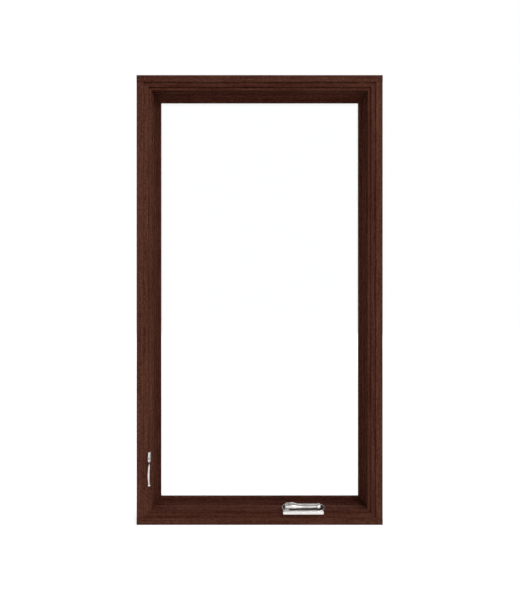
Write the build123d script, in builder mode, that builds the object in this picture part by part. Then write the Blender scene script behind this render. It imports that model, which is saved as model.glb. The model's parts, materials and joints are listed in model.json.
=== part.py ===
import os
from math import cos, pi, radians, sin

from build123d import *

# A wooden casement window seen from the room: +X to the right, +Y outdoors, +Z up.
# A section is drawn as (u, d): u in from the outer edge of the frame, d back from the face towards the room.

# Frame
frame_width = 736.6
frame_height = 1346.2
frame_depth = 116.0
board_thickness = 20.6
board_round = 1.6
sill_fall = 8.0
sill_flat = 56.0

# Stepped stops
step_1_width = 13.0
step_2_width = 9.3
step_3_width = 2.4
step_1_set_back = 5.0
step_1_tilt = 1.8
step_2_set_back = 12.0
step_3_set_back = 24.0
stop_back = 46.0
stop_round = 1.0

# Seal between stop and sash
seal_thickness = 2.5
seal_width = 8.0
seal_inset = 8.0

# Sash
sash_gap = 3.0
sash_thickness = 52.0
sash_face_width = 24.8
quirk_draft = 2.6
quirk_depth = 21.5
bead_width = 12.4
nose_round = 4.2
cove_round = 2.0
sash_round = 1.2
rebate_width = 13.0

# Sealed glass unit
glass_shoulder = 5.0
glass_thickness = 3.0
air_space = 11.5
glass_edge_gap = 2.5
spacer_inset = 1.5
spacer_width = 3.6

# Outer glazing beads
outer_setback = 3.4
outer_bead_toe = 3.0
outer_bead_round = 0.8

# Crank cover
crank_inset = 237.7
cover_length = 127.0
tray_width = 31.0
tray_tilt = 25.0
tray_front = -5.0
tray_front_height = 43.6
cover_thickness = 14.2
rim_width = 2.0
rim_chamfer = 0.6
tray_depth = 7.4
lip_length = 122.6
lip_height = 12.8
lip_front = -6.0
lip_round = 5.0

# Folding crank
fold_inset = 14.9
fold_height = 6.2
fold_pin_radius = 2.0
fold_pin_inset = 0.6
tongue_width = 6.4
tongue_radius = 5.6
spindle_radius = 7.0
spindle_height = 2.5
fork_width = 17.0
fork_radius = 7.4
fork_chamfer = 2.0
fork_gap = 0.5
fork_reach = 1.2
fork_lap = 3.0
fork_step = 0.3
arm_length = 94.7
arm_steps = 6
waist_length = 50.0
waist_width = 10.6
waist_thickness = 8.6
neck_length = 86.0
grip_chamfer = 0.27
stem_radius = 2.8
ball_radius = 7.6
ball_forward = 0.9
ball_drop = 1.0
arm_sag = 2.0
ball_flats = 16
pin_gap = 0.3
pin_seat = 0.05

# Lock
lock_inset = 38.8
lock_width = 5.8
lock_front = -9.0
lock_top_front = -3.0
lock_round = 1.8
lever_pivot_depth = -4.5
lever_pivot_height = 196.0
lock_below_pivot = 6.0
lock_above_pivot = 22.6
slot_above_pivot = 8.0
lever_slot_back = 1.0
lever_slot_gap = 0.4
lever_eye_radius = 4.0
lever_eye_width = 2.6
lever_tang_depth = 4.0
lever_shoulder = 13.5
lever_length = 75.0
lever_steps = 8
lever_bow = 4.6
lever_lean = 4.0
lever_width = 4.8
lever_thickness = 4.4
lever_ball_radius = 3.7
lock_pin_radius = 1.5
lock_pin_inset = 0.4

corner_reach = 0.01

# Derived places
face_y = -frame_depth / 2
half_width = frame_width / 2
half_height = frame_height / 2
step_1_edge = board_thickness + step_1_width
step_2_edge = step_1_edge + step_2_width
stop_edge = step_2_edge + step_3_width
sash_front = stop_back + seal_thickness
sash_back = sash_front + sash_thickness
sash_edge = board_thickness + sash_gap
ledge_edge = sash_edge + sash_face_width
quirk_edge = ledge_edge + quirk_draft
bead_front = sash_front + quirk_depth
sight_edge = quirk_edge + bead_width
glass_front = bead_front + glass_shoulder
glass_back = glass_front + 2 * glass_thickness + air_space
rebate_edge = sight_edge - rebate_width
glass_edge = rebate_edge + glass_edge_gap
spacer_edge = glass_edge + spacer_inset
outer_edge = sight_edge - outer_setback
lock_foot = lever_pivot_height - lock_below_pivot
lock_top = lever_pivot_height + lock_above_pivot
lever_slot_top = lever_pivot_height + slot_above_pivot
crank_x = half_width - crank_inset
lock_x = lock_inset - half_width

sides = {
    "head": Plane(origin=(0, face_y, frame_height), x_dir=(0, 0, -1), z_dir=(1, 0, 0)),
    "sill": Plane(origin=(0, face_y, 0), x_dir=(0, 0, 1), z_dir=(-1, 0, 0)),
    "left": Plane(origin=(-half_width, face_y, half_height), x_dir=(1, 0, 0), z_dir=(0, 0, 1)),
    "right": Plane(origin=(half_width, face_y, half_height), x_dir=(-1, 0, 0), z_dir=(0, 0, -1)),
}
half_lengths = {"head": half_width, "sill": half_width, "left": half_height, "right": half_height}


def near(corners, points):
    """The corners of a section that lie on the given points."""
    spots = [Vector(*point) for point in points]
    return [c for c in corners if any((Vector(c.X, c.Y) - spot).length < corner_reach for spot in spots)]


def ease(start, end, share):
    """A size that eases from start to end as share goes from 0 to 1."""
    return start + (end - start) * (1 - cos(pi * share)) / 2


def turned_ball(centre, axis, radius):
    """A ball turned about an axis, with narrow flats from pole to pole."""
    plane = Plane(origin=centre, x_dir=axis, z_dir=axis.cross(Vector(0, 1, 0)))
    with BuildPart() as result:
        with BuildSketch(plane):
            RegularPolygon(radius, ball_flats, rotation=180 / ball_flats)
            Rectangle(2 * radius, 2 * radius, align=(Align.CENTER, Align.MAX), mode=Mode.SUBTRACT)
        revolve(axis=Axis(centre, axis))
    return result.part


def bar(side, outline, rounds, half_length, mitred):
    """A bar of one section along a side of the window, its ends square or mitred to its neighbours."""
    plane = sides[side]
    with BuildPart() as result:
        with BuildSketch(plane) as section:
            with BuildLine():
                Polyline(*outline, close=True)
            make_face()
            for points, radius in rounds:
                fillet(near(section.vertices(), points), radius)
        extrude(amount=half_length, both=True)
        if mitred:
            for end in (1, -1):
                corner = plane.origin + plane.z_dir * end * half_length
                mitre = Plane(origin=corner, z_dir=plane.x_dir + plane.z_dir * end)
                split(bisect_by=mitre, keep=Keep.BOTTOM)
    return result


os.makedirs("parts", exist_ok=True)
pieces = {}

# Frame boards: head and sill run through, the jambs stand between them
board = ((0, 0), (board_thickness, 0), (board_thickness, frame_depth), (0, frame_depth))
pieces["frame_head"] = bar("head", board, ((board, board_round),), half_width, False)

sill_nose = board_thickness - sill_fall
sill_corners = ((0, 0), (board_thickness, 0), (sill_nose, frame_depth), (0, frame_depth))
sill_section = sill_corners[:2] + ((board_thickness, sill_flat),) + sill_corners[2:]
pieces["frame_sill"] = bar("sill", sill_section, ((sill_corners, board_round),), half_width, False)

jamb_heel = frame_depth - 2 * board_round
heel_height = board_thickness - sill_fall * (jamb_heel - sill_flat) / (frame_depth - sill_flat)
for side in ("left", "right"):
    plane = sides[side]
    with BuildPart() as jamb:
        with BuildSketch(plane) as section:
            with BuildLine():
                Polyline(*board, close=True)
            make_face()
            fillet(section.vertices(), board_round)
        extrude(amount=half_height - board_thickness, both=True)
        with BuildSketch(Plane(origin=(plane.origin.X, face_y, 0), x_dir=(0, 1, 0), z_dir=(1, 0, 0))):
            with BuildLine():
                Polyline((sill_flat, board_thickness), (jamb_heel, board_thickness), (jamb_heel, heel_height),
                         close=True)
            make_face()
        extrude(amount=board_thickness * plane.x_dir.X)
    pieces[f"frame_{side}_jamb"] = jamb

# Stops with three steps towards the glass
stop_section = (
    (board_thickness, step_1_set_back),
    (step_1_edge, step_1_set_back + step_1_tilt),
    (step_1_edge, step_2_set_back),
    (step_2_edge, step_2_set_back),
    (step_2_edge, step_3_set_back),
    (stop_edge, step_3_set_back),
    (stop_edge, stop_back),
    (board_thickness, stop_back),
)
for side in sides:
    rounds = ((stop_section[1:6:2], stop_round),)
    pieces[f"stop_{side}"] = bar(side, stop_section, rounds, half_lengths[side], True)

# Seals between the stops and the sash
seal_edge = board_thickness + seal_inset
seal_section = (
    (seal_edge, stop_back),
    (seal_edge + seal_width, stop_back),
    (seal_edge + seal_width, sash_front),
    (seal_edge, sash_front),
)
for side in sides:
    pieces[f"seal_{side}"] = bar(side, seal_section, (), half_lengths[side], True)

# Sash: moulded towards the room, rebated for the glass and mitred at its corners
sash_section = (
    (sash_edge, sash_front),
    (ledge_edge, sash_front),
    (quirk_edge, bead_front),
    (sight_edge, bead_front),
    (sight_edge, glass_front),
    (rebate_edge, glass_front),
    (rebate_edge, sash_back),
    (sash_edge, sash_back),
)
sash_rounds = (
    ((sash_section[0], sash_section[1], sash_section[6], sash_section[7]), sash_round),
    ((sash_section[2],), cove_round),
    ((sash_section[3],), nose_round),
)
sash_names = {"head": "top_rail", "sill": "bottom_rail", "left": "left_stile", "right": "right_stile"}
for side, name in sash_names.items():
    pieces[f"sash_{name}"] = bar(side, sash_section, sash_rounds, half_lengths[side], True)

# Sealed glass unit: two panes on a spacer frame
pane_width = frame_width - 2 * glass_edge
pane_height = frame_height - 2 * glass_edge
glass_plane = Plane(origin=(0, face_y + glass_front, half_height), x_dir=(1, 0, 0), z_dir=(0, -1, 0))
for name, back in (("inner", 0), ("outer", glass_thickness + air_space)):
    with BuildPart() as pane:
        with BuildSketch(glass_plane.offset(-back)):
            Rectangle(pane_width, pane_height)
        extrude(amount=-glass_thickness)
    pieces[f"glass_{name}_pane"] = pane
spacer_section = (
    (spacer_edge, glass_front + glass_thickness),
    (spacer_edge + spacer_width, glass_front + glass_thickness),
    (spacer_edge + spacer_width, glass_back - glass_thickness),
    (spacer_edge, glass_back - glass_thickness),
)
for side in sides:
    pieces[f"glass_spacer_{side}"] = bar(side, spacer_section, (), half_lengths[side], True)

# Outer glazing beads
outer_bead_section = (
    (rebate_edge, glass_back),
    (outer_edge, glass_back),
    (outer_edge, glass_back + outer_bead_toe),
    (rebate_edge, sash_back),
)
for side in sides:
    rounds = (((outer_bead_section[2],), outer_bead_round),)
    pieces[f"outer_bead_{side}"] = bar(side, outer_bead_section, rounds, half_lengths[side], True)

# Crank cover: a long tray tilted to the room, with a lip over the front of the sill stop
lean = radians(tray_tilt)
tray = Plane(
    origin=(
        crank_x,
        face_y + tray_front + tray_width / 2 * cos(lean),
        tray_front_height + tray_width / 2 * sin(lean),
    ),
    x_dir=(1, 0, 0),
    z_dir=(0, -sin(lean), cos(lean)),
)
with BuildPart() as crank_cover:
    with BuildSketch(tray):
        SlotOverall(cover_length, tray_width)
    extrude(amount=-cover_thickness)
    with BuildSketch(tray):
        SlotOverall(cover_length - 2 * rim_width, tray_width - 2 * rim_width)
    extrude(amount=-tray_depth, mode=Mode.SUBTRACT)
    chamfer(faces().sort_by(Axis(tray.origin, tray.z_dir))[-1].edges(), rim_chamfer)
    lip_origin = (crank_x, face_y, tray_front_height - lip_height)
    with BuildSketch(Plane(origin=lip_origin, x_dir=(0, 1, 0), z_dir=(1, 0, 0))) as lip_section:
        with BuildLine():
            Polyline((lip_front, 0), (step_1_set_back, 0), (step_1_set_back, lip_height / 2),
                     (lip_front + lip_round, lip_height), (lip_front, lip_height), close=True)
        make_face()
        fillet(near(lip_section.vertices(), ((lip_front, 0),)), lip_round)
    extrude(amount=lip_length / 2, both=True)
    add(pieces["stop_sill"].part, mode=Mode.SUBTRACT)
pieces["crank_cover"] = crank_cover

# Spindle with the tongue that carries the folding crank
fold_x = fold_inset - cover_length / 2
fold_point = tray.from_local_coords(Vector(fold_x, 0, fold_height))
swing = Plane(origin=fold_point, x_dir=tray.x_dir, z_dir=-tray.y_dir)
tongue_height = fold_height + tray_depth
with BuildPart() as crank_spindle:
    with BuildSketch(Plane(origin=tray.from_local_coords(Vector(fold_x, 0, -tray_depth)), x_dir=tray.x_dir,
                           z_dir=tray.z_dir)):
        Circle(spindle_radius)
    extrude(amount=spindle_height)
    with BuildSketch(swing):
        Circle(tongue_radius)
        with Locations((0, -tongue_height / 2)):
            Rectangle(2 * tongue_radius, tongue_height)
        Circle(fold_pin_radius + pin_seat, mode=Mode.SUBTRACT)
    extrude(amount=tongue_width / 2, both=True)
pieces["crank_spindle"] = crank_spindle

with BuildPart() as crank_fold_pin:
    with BuildSketch(swing):
        Circle(fold_pin_radius)
    extrude(amount=fork_width / 2 - fold_pin_inset, both=True)
pieces["crank_fold_pin"] = crank_fold_pin

# Crank arm: a fork over the tongue that slims to a waist and runs on to the ball
fork_end = tongue_radius + fork_reach
cheek_end = fork_end + fork_lap
slot_half = tongue_width / 2 + fork_gap
arm_shares = [step / arm_steps for step in range(arm_steps + 1)]
slimming = [(fork_end + (waist_length - fork_end) * share, share) for share in arm_shares]
with BuildPart() as crank_arm:
    for face in (1, -1):
        with BuildSketch(swing.offset(face * slot_half)):
            Circle(fork_radius)
            with Locations((cheek_end / 2, 0)):
                Rectangle(cheek_end, 2 * fork_radius)
            Circle(fold_pin_radius + pin_gap, mode=Mode.SUBTRACT)
        extrude(amount=face * (fork_width / 2 - slot_half))
        cheek = faces().sort_by(Axis(swing.origin, swing.z_dir * face))[-1].edges()
        chamfer(cheek.filter_by(Axis(swing.origin, swing.x_dir)), fork_chamfer)
    for reach, share in slimming + [(neck_length, 1)]:
        bend = (reach / arm_length) ** 2
        sag = arm_sag * sin(pi * reach / arm_length) ** 2
        station = Vector(fold_x + reach, -ball_forward * bend, fold_height - ball_drop * bend - sag)
        width = ease(fork_width - 2 * fork_step, waist_width, share)
        thickness = ease(2 * (fork_radius - fork_step), waist_thickness, share)
        across = Plane(origin=tray.from_local_coords(station), x_dir=tray.y_dir, z_dir=tray.x_dir)
        with BuildSketch(across) as section:
            Rectangle(width, thickness)
            chamfer(section.vertices(), grip_chamfer * width)
    loft(ruled=True)
pieces["crank_arm"] = crank_arm

# Ball on a short stem at the end of the arm
ball_point = tray.from_local_coords(Vector(fold_x + arm_length, -ball_forward, fold_height - ball_drop))
with BuildPart() as crank_ball:
    add(turned_ball(ball_point, tray.x_dir, ball_radius))
    with BuildSketch(Plane(origin=ball_point, x_dir=tray.y_dir, z_dir=-tray.x_dir)):
        Circle(stem_radius)
    extrude(amount=arm_length - neck_length)
pieces["crank_ball"] = crank_ball

# Lock housing on the left stop
lock_plane = Plane(origin=(lock_x, face_y, 0), x_dir=(0, 1, 0), z_dir=(1, 0, 0))
pivot = (lever_pivot_depth, lever_pivot_height)
with BuildPart() as lock_housing:
    with BuildSketch(lock_plane) as housing_section:
        with BuildLine():
            Polyline((lock_front, lock_foot), (stop_back, lock_foot), (stop_back, lock_top),
                     (lock_top_front, lock_top), (lock_front, lever_slot_top), close=True)
        make_face()
        corners = ((lock_front, lock_foot), (lock_top_front, lock_top), (lock_front, lever_slot_top))
        fillet(near(housing_section.vertices(), corners), lock_round)
    extrude(amount=lock_width / 2, both=True)
    with BuildSketch(lock_plane):
        with BuildLine():
            Polyline((2 * lock_front, 0), (lever_slot_back, 0), (lever_slot_back, lever_slot_top),
                     (2 * lock_front, lever_slot_top), close=True)
        make_face()
    extrude(amount=lever_eye_width / 2 + lever_slot_gap, both=True, mode=Mode.SUBTRACT)
    with BuildSketch(lock_plane):
        with Locations(pivot):
            Circle(lock_pin_radius + pin_seat)
    extrude(amount=lock_width, both=True, mode=Mode.SUBTRACT)
    add(pieces["stop_left"].part, mode=Mode.SUBTRACT)
pieces["lock_housing"] = lock_housing

with BuildPart() as lock_pin:
    with BuildSketch(lock_plane):
        with Locations(pivot):
            Circle(lock_pin_radius)
    extrude(amount=lock_width / 2 - lock_pin_inset, both=True)
pieces["lock_pin"] = lock_pin

# Lock lever: an eye on the pin, a bowed grip and a ball at its foot
with BuildPart() as lock_lever:
    for step in range(lever_steps + 1):
        share = step / lever_steps
        depth = lever_pivot_depth - lever_bow * sin(pi * share) - lever_lean * share
        height = lever_pivot_height - lever_shoulder - (lever_length - lever_shoulder) * share
        foot = lock_plane.from_local_coords(Vector(depth, height))
        with BuildSketch(Plane(origin=foot, x_dir=(1, 0, 0), z_dir=(0, 0, -1))) as section:
            Rectangle(lever_width, lever_thickness)
            chamfer(section.vertices(), grip_chamfer * lever_width)
    loft(ruled=True)
    add(turned_ball(foot, Vector(0, 0, -1), lever_ball_radius))
    with BuildSketch(lock_plane):
        with Locations(pivot):
            Circle(lever_eye_radius)
            Rectangle(lever_tang_depth, lever_shoulder + lever_eye_radius, align=(Align.CENTER, Align.MAX))
            Circle(lock_pin_radius + pin_gap, mode=Mode.SUBTRACT)
    extrude(amount=lever_eye_width / 2, both=True)
pieces["lock_lever"] = lock_lever

for name, piece in pieces.items():
    piece.part.label = name
    export_step(piece.part, f"parts/{name}.step")
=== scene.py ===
"""A dark stained wooden casement window with a fold-away crank and a lock lever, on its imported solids.

Metres, +X to the right as seen from the room, +Y outdoors, +Z up.
The origin lies under the middle of the sill.
"""

import json
import math

import bpy
import numpy as np
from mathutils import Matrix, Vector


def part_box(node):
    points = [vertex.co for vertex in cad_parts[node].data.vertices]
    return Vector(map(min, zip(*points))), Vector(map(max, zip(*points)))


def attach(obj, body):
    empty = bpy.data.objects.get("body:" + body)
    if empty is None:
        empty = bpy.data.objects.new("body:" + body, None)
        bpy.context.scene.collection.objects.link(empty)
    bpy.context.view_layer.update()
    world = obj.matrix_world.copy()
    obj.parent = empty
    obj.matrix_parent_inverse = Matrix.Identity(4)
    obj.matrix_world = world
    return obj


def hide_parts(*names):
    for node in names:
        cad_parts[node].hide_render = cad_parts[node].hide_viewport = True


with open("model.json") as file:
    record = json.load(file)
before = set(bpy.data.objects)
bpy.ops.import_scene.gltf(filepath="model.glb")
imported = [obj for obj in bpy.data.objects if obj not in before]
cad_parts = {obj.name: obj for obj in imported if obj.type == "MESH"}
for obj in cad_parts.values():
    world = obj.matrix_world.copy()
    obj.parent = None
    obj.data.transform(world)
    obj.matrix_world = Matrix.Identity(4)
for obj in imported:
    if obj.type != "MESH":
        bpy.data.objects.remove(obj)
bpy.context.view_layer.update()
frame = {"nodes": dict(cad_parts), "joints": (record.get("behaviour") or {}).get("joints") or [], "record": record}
mm = 0.001

# Places read from the frame
record = frame["record"]
joints = {joint["name"]: joint for joint in frame["joints"]}
fold_point = np.array(joints["crank_fold"]["pos_m"])
fold_axis = np.array(joints["crank_fold"]["axis"])
lever_pivot = np.array(joints["lock_swing"]["pos_m"])
cover_low, cover_high = (np.array(corner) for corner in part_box("crank_cover"))
room_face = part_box("frame_sill")[0][1]
window_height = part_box("frame_head")[1][2]
housing_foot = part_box("lock_housing")[0][2]

# Directions of the tilted crank tray: along it, up its slope and out of it
along_tray = np.array((1.0, 0.0, 0.0))
up_slope = -fold_axis
out_of_tray = np.cross(along_tray, up_slope)

# Crank cover
tray_width = 31 * mm
rim_width = 2 * mm
tray_depth = 7.4 * mm
cover_thickness = 14.2 * mm
fold_height = 6.2 * mm
cover_length = cover_high[0] - cover_low[0]
tray_middle = fold_point - out_of_tray * fold_height
tray_middle[0] = (cover_low[0] + cover_high[0]) / 2
lip_length = 122.6 * mm
lip_height = 12.8 * mm
lip_front = 6 * mm
lip_let_in = 4 * mm
lip_lift = 0.4 * mm
lip_end_round = 4 * mm
lip_end_share = 0.7
lip_softness = 0.62
foot_chamfer = 1.2 * mm
tray_floor_share = 0.98
tray_floor_sink = 0.6 * mm
wall_draft = 0.1 * mm

# Sheet of painted shade in the tray: a near-black dish that stands for the shade in the tray's hollow
shade_sheet_lap = 0.4 * mm
shade_sheet_stand = 0.2 * mm
shade_sheet_foot = 0.6 * mm
shade_sheet_top = 1.5 * mm
shade_sheet_edge = 0.1 * mm
hollow_radius = 1.6 * mm

# Folding crank
slot_half = 3.7 * mm
fork_width = 17 * mm
fork_radius = 7.4 * mm
fork_end = 6.8 * mm
cheek_radius = 6.2 * mm
cheek_end = 12 * mm
cheek_edge = 4.2 * mm
pin_bore = 2.3 * mm
arm_length = 94.7 * mm
waist_length = 50 * mm
waist_width = 10.6 * mm
waist_thickness = 8.6 * mm
neck_length = 86 * mm
ball_radius = 7.6 * mm
ball_forward = 0.9 * mm
ball_drop = 1 * mm
arm_sag = 2.4 * mm
arm_softness = 0.7
fork_run = 5 * mm
neck_lap = 1.5 * mm
swell_width = 1.2 * mm
swell_thickness = 0.8 * mm
crown_reach = 16 * mm
crown_spread = 9 * mm
crown_thickness = 2.4 * mm
crown_lift = 0.9 * mm
root_spread = 6 * mm
stem_radius = 3.4 * mm
stem_flare = 0.25
stem_lap = 1 * mm

# Lock lever
lever_shoulder = 13.5 * mm
lever_length = 75 * mm
lever_bow = 4.6 * mm
lever_lean = 4 * mm
lever_side_bow = 0.9 * mm
lever_end_width = 2.9 * mm
lever_belly_width = 2.3 * mm
lever_end_thickness = 3.3 * mm
lever_belly_thickness = 1 * mm
lever_softness = 0.8
lever_ball_radius = 3.6 * mm
eye_radius = 4 * mm
eye_width = 2.6 * mm
eye_bore = 1.8 * mm
eye_edge = 0.5 * mm
eye_lap = 0.5 * mm
tang_lap = 1 * mm
tang_softness = 0.35
slot_end = lever_pivot[2] - housing_foot

# Points round each kind of loop
loop_points = 48
slim_loop_points = 36
stem_loop_points = 40
tray_end_points = 25
eye_back_points = 33
eye_front_points = 13

# Rings along each kind of skin, and the angle past which an edge stays sharp
ball_rings = 32
eye_edge_rings = 9
rim_rings = 11
hollow_rings = 9
lip_end_rings = 10
arm_rings = 64
stem_rings = 14
lever_rings = 44
tang_rings = 10
sharp_angle = math.radians(40)


# Surfaces

def skin(rings, closed=False):
    """Points and faces of a surface through rings of equal length, each ring a closed loop.

    Ring i, point j is joined to ring i + 1 and to point j + 1, and the last point of a ring to its first. A
    closed skin joins its last ring to its first; an open one gets a fan to the middle of each end ring. The
    faces are turned over if the volume that they enclose comes out negative, so that they point outwards.
    """
    count, size = rings.shape[:2]
    points = rings.reshape(-1, 3)
    index = np.arange(count * size).reshape(count, size)
    beside = np.roll(index, -1, axis=1)
    upper = np.roll(index, -1, axis=0)
    upper_beside = np.roll(beside, -1, axis=0)
    last = None if closed else -1
    quads = np.stack((index[:last], beside[:last], upper_beside[:last], upper[:last]), axis=-1).reshape(-1, 4)
    triangles = np.zeros((0, 3), dtype=int)
    if not closed:
        middles = np.stack((rings[0].mean(axis=0), rings[-1].mean(axis=0)))
        first_hub, last_hub = len(points), len(points) + 1
        points = np.concatenate((points, middles))
        low = np.stack((beside[0], index[0], np.full(size, first_hub)), axis=-1)
        high = np.stack((index[-1], beside[-1], np.full(size, last_hub)), axis=-1)
        triangles = np.concatenate((low, high))
    halves = np.concatenate((quads[:, [0, 1, 2]], quads[:, [0, 2, 3]], triangles))
    a, b, c = (points[halves[:, k]] - points.mean(axis=0) for k in range(3))
    if np.einsum("ij,ij->i", a, np.cross(b, c)).sum() < 0:
        quads = quads[:, ::-1]
        triangles = triangles[:, ::-1]
    return points, quads, triangles


def piece(name, skins, finish, body, node=None):
    """One object made of several skins, with its finish, that rides on a body and may stand for a node."""
    points, faces, start = [], [], 0
    for skin_points, quads, triangles in skins:
        points.append(skin_points)
        faces += (quads + start).tolist() + (triangles + start).tolist()
        start += len(skin_points)
    mesh = bpy.data.meshes.new(name)
    mesh.from_pydata(np.concatenate(points).tolist(), [], faces)
    mesh.polygons.foreach_set("use_smooth", np.ones(len(faces), dtype=bool))
    mesh.materials.append(finish)
    mesh.set_sharp_from_angle(angle=sharp_angle)
    mesh.update()
    made = bpy.data.objects.new(name, mesh)
    bpy.context.scene.collection.objects.link(made)
    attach(made, body)
    if node:
        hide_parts(node)
    return made


def turn(count):
    """Angles once round, without the last that would repeat the first."""
    return np.linspace(0, 2 * math.pi, count, endpoint=False)


def ease(start, end, share):
    """A size that goes from start to end along half a cosine wave as share goes from 0 to 1."""
    return start + (end - start) * (1 - np.cos(math.pi * np.clip(share, 0, 1))) / 2


def soft_loop(width, thickness, power, count=loop_points):
    """A loop between an ellipse and a rounded box: each coordinate is cosine or sine to a power below one."""
    angle = turn(count)
    across = np.sign(np.cos(angle)) * np.abs(np.cos(angle)) ** power
    up = np.sign(np.sin(angle)) * np.abs(np.sin(angle)) ** power
    return np.multiply.outer(width / 2, across), np.multiply.outer(thickness / 2, up)


def ball_skin(centre, axis, radius):
    """A ball: circles about the axis, each as wide as the ball times the sine of the angle from its pole."""
    slanted = (0.0, 1.0, 0.1)  # any direction that no ball's axis follows
    side = np.cross(axis, slanted)
    side /= np.linalg.norm(side)
    other = np.cross(axis, side)
    pole = np.linspace(0, math.pi, ball_rings + 2)[1:-1]
    angle = turn(loop_points)
    circle = np.multiply.outer(np.cos(angle), side) + np.multiply.outer(np.sin(angle), other)
    rings = centre + radius * (
        np.sin(pole)[:, None, None] * circle[None] + np.cos(pole)[:, None, None] * np.asarray(axis)
    )
    return skin(rings)


def eye_skin(centre, forward, up, across, inner, outer, radius, reach, bore, edge):
    """A bored cheek: a loop round a pin, carried across from its inner to its outer face.

    The loop is a half circle behind the pin that runs straight on to a reach in front of it. Towards the
    outer face it draws in by a quarter circle of the given edge. The bore joins the two faces, so the skin
    closes on itself both ways.
    """
    angle = np.linspace(math.pi / 2, 3 * math.pi / 2, eye_back_points)
    level = np.linspace(-1, 1, eye_front_points + 2)[1:-1]
    arc = np.linspace(0, math.pi / 2, eye_edge_rings)
    inset = np.concatenate(((0.0,), edge * (1 - np.cos(arc))))
    height = np.concatenate(((inner,), outer - edge + edge * np.sin(arc)))
    size = (radius - inset)[:, None]
    x = np.concatenate((size * np.cos(angle), np.full((len(inset), len(level)), reach)), axis=1)
    y = np.concatenate((size * np.sin(angle), size * level), axis=1)
    way = np.hypot(x[0], y[0])
    bore_x, bore_y = bore * x[0] / way, bore * y[0] / way
    x = np.concatenate((bore_x[None], x, bore_x[None]))
    y = np.concatenate((bore_y[None], y, bore_y[None]))
    z = np.concatenate(((inner,), height, (outer,)))[:, None]
    rings = centre + x[..., None] * forward + y[..., None] * up + z[..., None] * across
    return skin(rings, closed=True)


def around_tray(inset, height):
    """A profile of inset and height carried round the tray's long rounded outline.

    The outline is two half circles on the ends of a straight middle line; drawing it in by the inset only
    makes the circles smaller.
    """
    bend = np.linspace(-math.pi / 2, math.pi / 2, tray_end_points)
    half_line = (cover_length - tray_width) / 2
    radius = (tray_width / 2 - inset)[:, None]
    x = np.concatenate((half_line + radius * np.cos(bend), -half_line - radius * np.cos(bend)), axis=1)
    y = np.concatenate((radius * np.sin(bend), -radius * np.sin(bend)), axis=1)
    z = np.broadcast_to(height[:, None], x.shape)
    return tray_middle + x[..., None] * along_tray + y[..., None] * up_slope + z[..., None] * out_of_tray


def tray_skin():
    """The crank tray's shell: up the outer wall, over a half-round rim and down the inner wall to a floor."""
    rim = np.linspace(math.pi, 0, rim_rings)
    rim_radius = rim_width / 2
    middle = tray_floor_share * tray_width / 2
    floor_height = -tray_depth - tray_floor_sink
    inset = np.concatenate((
        (middle, foot_chamfer, 0.0, 0.0),
        rim_radius + rim_radius * np.cos(rim),
        (rim_width + wall_draft, middle),
    ))
    height = np.concatenate((
        (-cover_thickness, -cover_thickness, foot_chamfer - cover_thickness, -rim_width),
        -rim_radius + rim_radius * np.sin(rim),
        (floor_height, floor_height),
    ))
    return skin(around_tray(inset, height))


def recess_skin():
    """A near-black sheet that paints the shade in the tray: from just under the rim down the wall and through a
    small hollow to the floor.

    Its back lies inside the shell, so that it closes on itself as a thin dish.
    """
    hollow = np.linspace(math.pi, 3 * math.pi / 2, hollow_rings)
    middle = tray_floor_share * tray_width / 2
    back = rim_width - shade_sheet_lap
    foot = rim_width + shade_sheet_foot
    inset = np.concatenate((
        (middle, back, back, rim_width + shade_sheet_stand),
        foot + hollow_radius + hollow_radius * np.cos(hollow),
        (middle,),
    ))
    height = np.concatenate((
        (-tray_depth - shade_sheet_lap, -tray_depth - shade_sheet_lap, -shade_sheet_top - shade_sheet_edge, -shade_sheet_top),
        hollow_radius - tray_depth + hollow_radius * np.sin(hollow),
        (-tray_depth,),
    ))
    return skin(around_tray(inset, height))


def lip_skin():
    """The bar in front of the tray: a bulged section carried along it, drawn in to rounded ends.

    The section is a soft loop, let into the frame by part of its depth and as high as the lip. Along the bar
    it keeps its size and shrinks over the last stretch by a quarter circle, so the ends are domed.
    """
    arc = np.linspace(0, math.pi / 2, lip_end_rings)
    near_end = -lip_length / 2 + lip_end_round * (1 - np.cos(arc))
    x = np.concatenate((near_end, -near_end[::-1]))
    draw_in = lip_end_share + (1 - lip_end_share) * np.concatenate((np.sin(arc), np.sin(arc[::-1])))
    out, up = soft_loop(2 * (lip_front + lip_let_in) * draw_in, lip_height * draw_in, lip_softness)
    rings = np.stack((
        np.broadcast_to(tray_middle[0] + x[:, None], out.shape),
        room_face + lip_let_in + out,
        cover_low[2] + lip_height / 2 + lip_lift + up,
    ), axis=-1)
    return skin(rings)


def arm_skin():
    """The crank arm from the foot of its fork to its neck: soft loops along a line that bends slightly.

    Width and thickness ease from those of the fork to those of the waist, swell a little before the ball by
    a squared sine and end in the neck. Just past the fork a crown stands up by a bell curve, and at the fork
    itself the thickness is drawn in to the cheeks. The line moves forwards and down by the square of the
    reach and sags between fork and ball by a squared sine.
    """
    reach = np.linspace(fork_end, neck_length + neck_lap, arm_rings)
    slim = (reach - fork_end - fork_run) / (waist_length - fork_end - fork_run)
    swell = np.sin(math.pi * np.clip((reach - waist_length) / (neck_length - waist_length), 0, 1)) ** 2
    crown = np.exp(-((reach - crown_reach) / crown_spread) ** 2)
    root = np.exp(-((reach - fork_end) / root_spread) ** 2)
    width = ease(fork_width, waist_width, slim) + swell_width * swell
    thickness = ease(2 * fork_radius, waist_thickness, slim)
    thickness += swell_thickness * swell + crown_thickness * crown
    thickness -= 2 * (fork_radius - cheek_radius) * root
    bend = (reach / arm_length) ** 2
    sag = arm_sag * np.sin(math.pi * reach / arm_length) ** 2
    across, up = soft_loop(width, thickness, arm_softness)
    rings = (
        fold_point
        + reach[:, None, None] * along_tray
        + (across - (ball_forward * bend)[:, None])[..., None] * up_slope
        + (up - (ball_drop * bend + sag - crown_lift * crown)[:, None])[..., None] * out_of_tray
    )
    return skin(rings)


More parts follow.
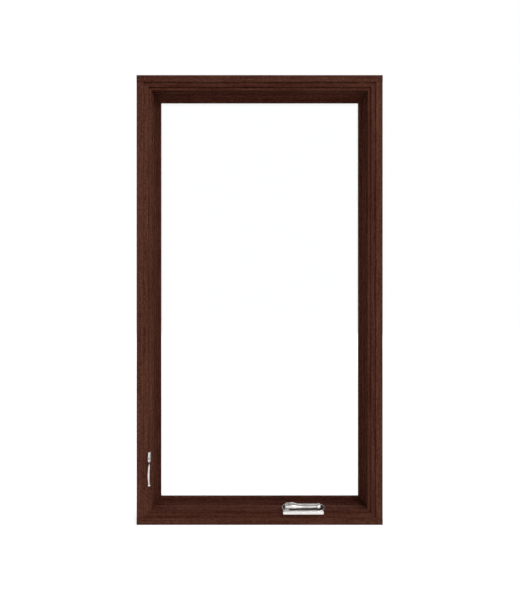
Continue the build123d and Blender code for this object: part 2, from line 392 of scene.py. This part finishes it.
def stem_skin(ball_middle):
    """The collar between neck and ball: circles along the arm, slimmest halfway, by one cosine wave."""
    share = np.linspace(0, 1, stem_rings)
    radius = stem_radius * (1 + stem_flare * np.cos(2 * math.pi * share))
    x = (share - 1) * (arm_length - neck_length + stem_lap)
    angle = turn(stem_loop_points)
    circle = np.multiply.outer(np.cos(angle), up_slope) + np.multiply.outer(np.sin(angle), out_of_tray)
    rings = ball_middle + radius[:, None, None] * circle[None] + (x[:, None] * along_tray)[:, None, :]
    return skin(rings)


def lever_skin():
    """The lever's grip: soft loops hung one below the other along a bowed line.

    The line goes down from the shoulder, stands out by half a sine wave, leans out with its length and bows a
    little to one side by a sine. The grip is slim at both ends and widest in the middle, by a sine.
    """
    share = np.linspace(0, 1, lever_rings)
    drop = lever_shoulder + (lever_length - lever_shoulder) * share
    out = lever_bow * np.sin(math.pi * share) + lever_lean * share
    width = lever_end_width + lever_belly_width * np.sin(math.pi * share)
    thickness = lever_end_thickness + lever_belly_thickness * np.sin(math.pi * share)
    across, back = soft_loop(width, thickness, lever_softness, slim_loop_points)
    rings = np.stack((
        lever_pivot[0] - lever_side_bow * np.sin(math.pi * share)[:, None] + across,
        lever_pivot[1] - out[:, None] + back,
        np.broadcast_to((lever_pivot[2] - drop)[:, None], across.shape),
    ), axis=-1)
    return skin(rings)


def tang_skin():
    """The tang between eye and grip: soft loops one below the other, thinning from the eye to the grip."""
    share = np.linspace(0, 1, tang_rings)
    drop = slot_end + (lever_shoulder + tang_lap - slot_end) * share
    width = np.full(len(share), eye_width)
    thickness = ease(2 * eye_radius, lever_end_thickness, share)
    across, back = soft_loop(width, thickness, tang_softness, slim_loop_points)
    rings = np.stack((
        lever_pivot[0] + across,
        lever_pivot[1] + back,
        np.broadcast_to((lever_pivot[2] - drop)[:, None], across.shape),
    ), axis=-1)
    return skin(rings)


# Finishes

def new_group(name, inputs, outputs):
    """A shader node group with the named sockets, and its two end nodes."""
    tree = bpy.data.node_groups.new(name, "ShaderNodeTree")
    for label, kind, value in inputs:
        socket = tree.interface.new_socket(name=label, in_out="INPUT", socket_type=kind)
        if value is not None:
            socket.default_value = value
    for label, kind in outputs:
        tree.interface.new_socket(name=label, in_out="OUTPUT", socket_type=kind)
    return tree, tree.nodes.new("NodeGroupInput"), tree.nodes.new("NodeGroupOutput")


def noise(tree, coordinates, stretch, detail, rough):
    """A noise value from coordinates stretched by a factor each way; larger factors make smaller flecks."""
    scale = tree.nodes.new("ShaderNodeVectorMath")
    scale.operation = "MULTIPLY"
    scale.inputs[1].default_value = stretch
    tree.links.new(coordinates, scale.inputs[0])
    made = tree.nodes.new("ShaderNodeTexNoise")
    made.inputs["Scale"].default_value = 1.0
    made.inputs["Detail"].default_value = detail
    made.inputs["Roughness"].default_value = rough
    tree.links.new(scale.outputs[0], made.inputs["Vector"])
    return made.outputs["Fac"]


def remap(tree, value, low, high, to_low=0, to_high=1):
    """A value carried from one range to another and held inside it."""
    made = tree.nodes.new("ShaderNodeMapRange")
    made.inputs["From Min"].default_value = low
    made.inputs["From Max"].default_value = high
    made.inputs["To Min"].default_value = to_low
    made.inputs["To Max"].default_value = to_high
    tree.links.new(value, made.inputs["Value"])
    return made.outputs["Result"]


def calc(tree, operation, first, second):
    """One sum on two values, each a socket or a number."""
    made = tree.nodes.new("ShaderNodeMath")
    made.operation = operation
    for socket, value in zip(made.inputs, (first, second)):
        if isinstance(value, (int, float)):
            socket.default_value = value
        else:
            tree.links.new(value, socket)
    return made.outputs[0]


def blend(tree, share, first, second):
    """Two colours mixed by a share; each is a socket or a colour."""
    made = tree.nodes.new("ShaderNodeMix")
    made.data_type = "RGBA"
    sockets = [socket for socket in made.inputs if socket.type == "RGBA"]
    factor = next(socket for socket in made.inputs if socket.type == "VALUE")
    for socket, value in ((factor, share), (sockets[0], first), (sockets[1], second)):
        if isinstance(value, (int, float, tuple)):
            socket.default_value = value
        else:
            tree.links.new(value, socket)
    return next(socket for socket in made.outputs if socket.type == "RGBA")


def weighted(tree, layers):
    """The sum of several values, each times its weight."""
    products = [calc(tree, "MULTIPLY", value, weight) for value, weight in layers]
    total = products[0]
    for product in products[1:]:
        total = calc(tree, "ADD", total, product)
    return total


def grain_group():
    """Stained grain along the first axis of Along. Puts out the colour, roughness and pore height."""
    tree, start, end = new_group(
        "stained_grain",
        (("Along", "NodeSocketVector", None), ("Light", "NodeSocketColor", (0.1, 0.04, 0.02, 1)),
         ("Dark", "NodeSocketColor", (0.03, 0.01, 0.006, 1)), ("Gloss", "NodeSocketFloat", 0.5)),
        (("Color", "NodeSocketColor"), ("Roughness", "NodeSocketFloat"), ("Height", "NodeSocketFloat")),
    )
    along = start.outputs["Along"]
    pore_darkness, pore_roughness, fibre_height = 0.75, 0.12, 0.35
    tone = noise(tree, along, stretch=(2, 24, 24), detail=3, rough=0.55)
    streak = noise(tree, along, stretch=(9, 330, 330), detail=2, rough=0.5)
    fleck = noise(tree, along, stretch=(150, 520, 520), detail=2, rough=0.55)
    fibre = noise(tree, along, stretch=(60, 1500, 1500), detail=3, rough=0.6)
    pores = noise(tree, along, stretch=(120, 1300, 1300), detail=1, rough=0.5)
    pores = remap(tree, pores, low=0.54, high=0.64)
    shade = weighted(tree, ((tone, 0.15), (streak, 0.25), (fleck, 0.45), (fibre, 0.15)))
    shade = remap(tree, shade, low=0.41, high=0.59)
    color = blend(tree, shade, start.outputs["Dark"], start.outputs["Light"])
    color = blend(tree, calc(tree, "MULTIPLY", pores, pore_darkness), color, start.outputs["Dark"])
    uneven = remap(tree, fibre, low=0.3, high=0.7, to_low=-0.06, to_high=0.08)
    rough = calc(tree, "ADD", start.outputs["Gloss"], uneven)
    rough = calc(tree, "ADD", rough, calc(tree, "MULTIPLY", pores, pore_roughness))
    height = calc(tree, "SUBTRACT", calc(tree, "MULTIPLY", fibre, fibre_height), pores)
    tree.links.new(color, end.inputs["Color"])
    tree.links.new(rough, end.inputs["Roughness"])
    tree.links.new(height, end.inputs["Height"])
    return tree


def satin_group():
    """Satin brushing: fine streaks along the first axis, with a slow cloudiness from handling."""
    tree, start, end = new_group(
        "satin_brushing",
        (("Along", "NodeSocketVector", None), ("Light", "NodeSocketColor", (0.8, 0.8, 0.8, 1)),
         ("Dark", "NodeSocketColor", (0.6, 0.6, 0.6, 1)), ("Gloss", "NodeSocketFloat", 0.25)),
        (("Color", "NodeSocketColor"), ("Roughness", "NodeSocketFloat"), ("Height", "NodeSocketFloat")),
    )
    along = start.outputs["Along"]
    streak = noise(tree, along, stretch=(60, 5200, 5200), detail=3, rough=0.6)
    cloud = noise(tree, along, stretch=(70, 90, 90), detail=3, rough=0.6)
    shade = weighted(tree, ((streak, 0.5), (cloud, 0.5)))
    paleness = remap(tree, shade, low=0.35, high=0.62)
    color = blend(tree, paleness, start.outputs["Dark"], start.outputs["Light"])
    uneven = remap(tree, shade, low=0.3, high=0.7, to_low=0.07, to_high=-0.05)
    rough = calc(tree, "ADD", start.outputs["Gloss"], uneven)
    tree.links.new(color, end.inputs["Color"])
    tree.links.new(rough, end.inputs["Roughness"])
    tree.links.new(streak, end.inputs["Height"])
    return tree


def new_material(name):
    """A material with its node tree, its Principled shader and its output."""
    material = bpy.data.materials.new(name)
    material.use_nodes = True
    nodes = {node.type: node for node in material.node_tree.nodes}
    return material, material.node_tree, nodes["BSDF_PRINCIPLED"], nodes["OUTPUT_MATERIAL"]


def mix_shaders(tree, share, first, second, output):
    """Two shaders mixed by a share and put out as the surface."""
    mix = tree.nodes.new("ShaderNodeMixShader")
    tree.links.new(share, mix.inputs["Fac"])
    tree.links.new(first, mix.inputs[1])
    tree.links.new(second, mix.inputs[2])
    tree.links.new(mix.outputs["Shader"], output.inputs["Surface"])


def finish_from(name, group, turned, moved, light, dark, gloss, bump, bump_distance, **shader_values):
    """A material whose group of grain or brushing drives colour, roughness and bump of one Principled shader.

    Turned is the rotation that brings the run of the grain to the first axis, moved the shift that gives each
    kind of member its own stretch of it.
    """
    material, tree, shader, _ = new_material(name)
    place = tree.nodes.new("ShaderNodeTexCoord")
    mapping = tree.nodes.new("ShaderNodeMapping")
    mapping.inputs["Rotation"].default_value = turned
    mapping.inputs["Location"].default_value = moved
    pattern = tree.nodes.new("ShaderNodeGroup")
    pattern.node_tree = group
    pattern.inputs["Light"].default_value = (*light, 1)
    pattern.inputs["Dark"].default_value = (*dark, 1)
    pattern.inputs["Gloss"].default_value = gloss
    relief = tree.nodes.new("ShaderNodeBump")
    relief.inputs["Strength"].default_value = bump
    relief.inputs["Distance"].default_value = bump_distance
    tree.links.new(place.outputs["Object"], mapping.inputs["Vector"])
    tree.links.new(mapping.outputs["Vector"], pattern.inputs["Along"])
    tree.links.new(pattern.outputs["Color"], shader.inputs["Base Color"])
    tree.links.new(pattern.outputs["Roughness"], shader.inputs["Roughness"])
    tree.links.new(pattern.outputs["Height"], relief.inputs["Height"])
    tree.links.new(relief.outputs["Normal"], shader.inputs["Normal"])
    for label, value in shader_values.items():
        shader.inputs[label.replace("_", " ")].default_value = value
    return material


along_level = (0.0, 0.0, 0.0)
along_upright = (0.0, math.pi / 2, 0.0)
grain = grain_group()
satin = satin_group()
wood_light = (0.115, 0.0454, 0.0286)
wood_dark = (0.036, 0.0086, 0.0055)
wood_specular = 0.012

# Each wooden member: the run of its grain, the shift of its stretch of grain, its tone and how red it is
# Tones and reds were matched member by member and paint shade into the wood besides its own differences: the dark
# sash bottom rail and sash left stile stand for shade on them, and the extra red of the stops and sash stands for
# red light bounced between the wood in shade
wood_members = {
    "frame_head": (along_level, (0.3, 0, 0), 0.87, 1.0),
    "frame_sill": (along_level, (1.1, 0, 0), 0.91, 1.0),
    "frame_left_jamb": (along_upright, (0.2, 0, 0), 1.07, 1.0),
    "frame_right_jamb": (along_upright, (1.7, 0, 0), 1.06, 1.0),
    "stop_head": (along_level, (2.3, 0.4, 0), 0.86, 1.06),
    "stop_sill": (along_level, (2.6, 0.5, 0), 0.84, 1.05),
    "stop_left": (along_upright, (2.9, 0.7, 0), 0.98, 1.03),
    "stop_right": (along_upright, (3.2, 0.8, 0), 0.95, 1.06),
    "sash_top_rail": (along_level, (3.6, 0.9, 0), 0.99, 1.12),
    "sash_bottom_rail": (along_level, (3.9, 1.0, 0), 0.64, 1.08),
    "sash_left_stile": (along_upright, (4.4, 1.3, 0), 0.75, 1.06),
    "sash_right_stile": (along_upright, (4.8, 1.5, 0), 1.08, 1.1),
}
bead_members = {
    "outer_bead_head": "sash_top_rail",
    "outer_bead_sill": "sash_bottom_rail",
    "outer_bead_left": "sash_left_stile",
    "outer_bead_right": "sash_right_stile",
}


def wood(name, turned, moved, tone, shade_redness):
    """Stained wood with its grain turned along a member, lighter or darker by tone and redder by shade_redness;
    both hold painted shade and painted bounced light as well as the wood's own tone.
    """
    share = np.array((1.0, 1 / shade_redness, 1 / shade_redness)) * tone
    light = tuple((share * wood_light).tolist())
    dark = tuple((share * wood_dark).tolist())
    return finish_from(name, grain, turned, moved, light, dark, gloss=0.68, bump=0.3, bump_distance=0.25 * mm,
                       Specular_IOR_Level=wood_specular)


wood_finishes = {
    node: wood("stained_" + node.removeprefix("frame_").removeprefix("sash_"), *values)
    for node, values in wood_members.items()
}
wood_finishes.update({bead: wood_finishes[member] for bead, member in bead_members.items()})

nickel_light = (0.8, 0.78, 0.76)
nickel_dark = (0.68, 0.66, 0.64)
brushing_depth = 0.05 * mm
nickel_level = finish_from(
    "satin_nickel_level", satin, along_level, moved=(0, 0, 0), light=nickel_light, dark=nickel_dark,
    gloss=0.22, bump=0.04, bump_distance=brushing_depth, Metallic=1.0)
nickel_upright = finish_from(
    "satin_nickel_upright", satin, along_upright, moved=(0.5, 0, 0), light=nickel_light, dark=nickel_dark,
    gloss=0.2, bump=0.04, bump_distance=brushing_depth, Metallic=1.0)
# Near-black nickel that paints shade: it colours the sheet in the crank tray and the lever's tang, where shade
# falls
painted_shade_finish = finish_from(
    "blackened_nickel", satin, along_level, moved=(0.7, 0, 0),
    light=(0.13, 0.115, 0.105), dark=(0.06, 0.052, 0.047),
    gloss=0.42, bump=0.05, bump_distance=brushing_depth, Metallic=1.0)
spacer_finish = finish_from(
    "spacer_bronze", satin, along_level, moved=(0.9, 0, 0),
    light=(0.14, 0.105, 0.082), dark=(0.09, 0.065, 0.05),
    gloss=0.38, bump=0.06, bump_distance=brushing_depth, Metallic=1.0)
seal_finish = finish_from(
    "seal_rubber", satin, along_upright, moved=(1.3, 0, 0),
    light=(0.026, 0.021, 0.018), dark=(0.012, 0.01, 0.009),
    gloss=0.62, bump=0.1, bump_distance=0.1 * mm)


def glass_finish():
    """Clear glass, tinted very slightly and unevenly, that lets the light through to what is behind it."""
    material, tree, shader, output = new_material("clear_glass")
    place = tree.nodes.new("ShaderNodeTexCoord")
    haze = noise(tree, place.outputs["Object"], stretch=(6, 6, 6), detail=3, rough=0.5)
    tint = blend(tree, haze, (0.995, 0.999, 0.997, 1), (0.999, 1.0, 1.0, 1))
    tree.links.new(tint, shader.inputs["Base Color"])
    rough = remap(tree, haze, low=0.4, high=0.7, to_low=0.0, to_high=0.012)
    tree.links.new(rough, shader.inputs["Roughness"])
    shader.inputs["Transmission Weight"].default_value = 1.0
    shader.inputs["IOR"].default_value = 1.5
    path = tree.nodes.new("ShaderNodeLightPath")
    clear = tree.nodes.new("ShaderNodeBsdfTransparent")
    mix_shaders(tree, path.outputs["Is Shadow Ray"], shader.outputs["BSDF"], clear.outputs["BSDF"], output)
    return material


glass = glass_finish()
slot_finishes = {"seal_rubber": seal_finish, "clear_glass": glass, "spacer_metal": spacer_finish,
                 "satin_nickel": nickel_level}
node_finishes = {part["node"]: slot_finishes.get(part["material_slot"]) for part in record["subparts"]}
node_finishes.update(wood_finishes)
node_finishes.update(lock_housing=nickel_upright, lock_pin=nickel_upright)
for name, node in frame["nodes"].items():
    for material_slot in node.material_slots:
        material_slot.material = node_finishes[name]

# Fittings
down = np.array((0.0, 0.0, -1.0))
backwards = np.array((0.0, 1.0, 0.0))
ball_middle = fold_point + arm_length * along_tray - ball_forward * up_slope - ball_drop * out_of_tray
cheeks = [
    eye_skin(fold_point, along_tray, out_of_tray, side * up_slope, inner=slot_half, outer=fork_width / 2,
             radius=cheek_radius, reach=cheek_end, bore=pin_bore, edge=cheek_edge)
    for side in (1, -1)
]
piece("crank_cover_cast", [tray_skin(), lip_skin()], nickel_level, "window", "crank_cover")
# The near-black sheet in the crank tray is painted shade for the tray's hollow
piece("crank_tray_lining", [recess_skin()], painted_shade_finish, "window")
piece("crank_arm_cast", [arm_skin(), *cheeks], nickel_level, "crank", "crank_arm")
crank_ball = [ball_skin(ball_middle, along_tray, ball_radius), stem_skin(ball_middle)]
piece("crank_ball_turned", crank_ball, nickel_level, "crank", "crank_ball")
lever_foot = lever_pivot - np.array((0, lever_lean, lever_length))
lever_ball = ball_skin(lever_foot, -down, lever_ball_radius)
lever_eyes = [
    eye_skin(lever_pivot, down, backwards, side * along_tray, inner=0.0, outer=eye_width / 2,
             radius=eye_radius, reach=slot_end + eye_lap, bore=eye_bore, edge=eye_edge)
    for side in (1, -1)
]
lever_skins = [lever_skin(), lever_ball, *lever_eyes]
piece("lock_lever_cast", lever_skins, nickel_upright, "lever", "lock_lever")
# The tang takes the near-black finish as painted shade: it stands for the shadow in the gap between the housing's
# foot and the grip
piece("lock_lever_tang", [tang_skin()], painted_shade_finish, "lever")

# Floor, light and camera
floor_half = 12.0
floor_drop = 0.5 * mm
floor_grey = (0.8, 0.8, 0.8, 1)
floor_white = 1.52
floor_white_share = 0.5
card_height = 4.0
card_half = 9.0
card_front = -5.0
card_back = 6.0
card_grey = (0.2, 0.2, 0.2, 1)
matt = 0.9
ambient_level = 0.54
backdrop_level = 1.0
white = (1, 1, 1, 1)
camera_distance = 2.0
camera_height = 0.712


def seen_rays(tree):
    """One for the rays that show a surface: from the camera, in reflections and through glass."""
    path = tree.nodes.new("ShaderNodeLightPath")
    seen = calc(tree, "MAXIMUM", path.outputs["Is Camera Ray"], path.outputs["Is Glossy Ray"])
    return calc(tree, "MAXIMUM", seen, path.outputs["Is Transmission Ray"])


def floor_finish():
    """A pale floor that reads as white to the camera and in reflections and still takes a soft shadow."""
    material, tree, shader, output = new_material("pale_floor")
    shader.inputs["Roughness"].default_value = matt
    shader.inputs["Base Color"].default_value = floor_grey
    glow = tree.nodes.new("ShaderNodeEmission")
    glow.inputs["Strength"].default_value = floor_white
    share = calc(tree, "MULTIPLY", seen_rays(tree), floor_white_share)
    mix_shaders(tree, share, shader.outputs["BSDF"], glow.outputs["Emission"], output)
    return material


def card_finish():
    """A grey card with a glow of its own grey."""
    material, _, shader, _ = new_material("grey_card")
    shader.inputs["Base Color"].default_value = card_grey
    shader.inputs["Roughness"].default_value = matt
    shader.inputs["Emission Color"].default_value = card_grey
    shader.inputs["Emission Strength"].default_value = 1.0
    return material


def level_sheet(name, half, front, back, height, face, finish):
    """A level rectangle; face gives the order of its corners."""
    mesh = bpy.data.meshes.new(name)
    corners = [(-half, front, height), (half, front, height), (half, back, height), (-half, back, height)]
    mesh.from_pydata(corners, [], [face])
    mesh.materials.append(finish)
    sheet = bpy.data.objects.new(name, mesh)
    bpy.context.scene.collection.objects.link(sheet)
    return sheet


def softbox(name, direction, distance, size, level):
    """A square softbox aimed at the window's middle; level 1 lights a white face turned to it to white."""
    middle = np.array((0.0, room_face, window_height / 2))
    way = np.array(direction) / np.linalg.norm(direction)
    lamp = bpy.data.lights.new(name, "AREA")
    lamp.shape = "SQUARE"
    lamp.size = size
    lamp.energy = level * (math.pi * distance) ** 2
    holder = bpy.data.objects.new(name, lamp)
    holder.location = middle + way * distance
    holder.rotation_euler = Vector(way).to_track_quat("Z", "Y").to_euler()
    holder.visible_transmission = False
    bpy.context.scene.collection.objects.link(holder)


level_sheet("floor", floor_half, -floor_half, floor_half, -floor_drop, (0, 1, 2, 3), floor_finish())

# The card shows only in reflections, where it greys the tops of the metal fittings, and through the glass
card = level_sheet("ceiling_card", card_half, card_front, card_back, card_height, (3, 2, 1, 0), card_finish())
card.visible_camera = False
card.visible_diffuse = False
card.visible_shadow = False

softbox("key", direction=(0.42, -0.75, 0.51), distance=10.0, size=5.0, level=0.62)
softbox("back_fill", direction=(0.1, 0.95, 0.28), distance=8.0, size=4.0, level=0.4)

scene = bpy.context.scene
world = bpy.data.worlds.new("studio")
scene.world = world
world.use_nodes = True
sky = world.node_tree
sky_nodes = {node.type: node for node in sky.nodes}
ambient = sky_nodes["BACKGROUND"]
backdrop = sky.nodes.new("ShaderNodeBackground")
for background, level in ((ambient, ambient_level), (backdrop, backdrop_level)):
    background.inputs["Color"].default_value = white
    background.inputs["Strength"].default_value = level
mix_shaders(sky, seen_rays(sky), ambient.outputs["Background"], backdrop.outputs["Background"],
            sky_nodes["OUTPUT_WORLD"])

# The camera stands in front of the frame's face, level, a little above the window's middle
lens = bpy.data.cameras.new("camera")
lens.lens = 40.12
lens.shift_x = 0.0006
lens.shift_y = -0.0217
lens.clip_start = 0.01
camera = bpy.data.objects.new("camera", lens)
camera.location = (0.0, room_face - camera_distance, camera_height)
camera.rotation_euler = (math.pi / 2, 0.0, 0.0)
scene.collection.objects.link(camera)
scene.camera = camera
scene.view_settings.view_transform = "Standard"
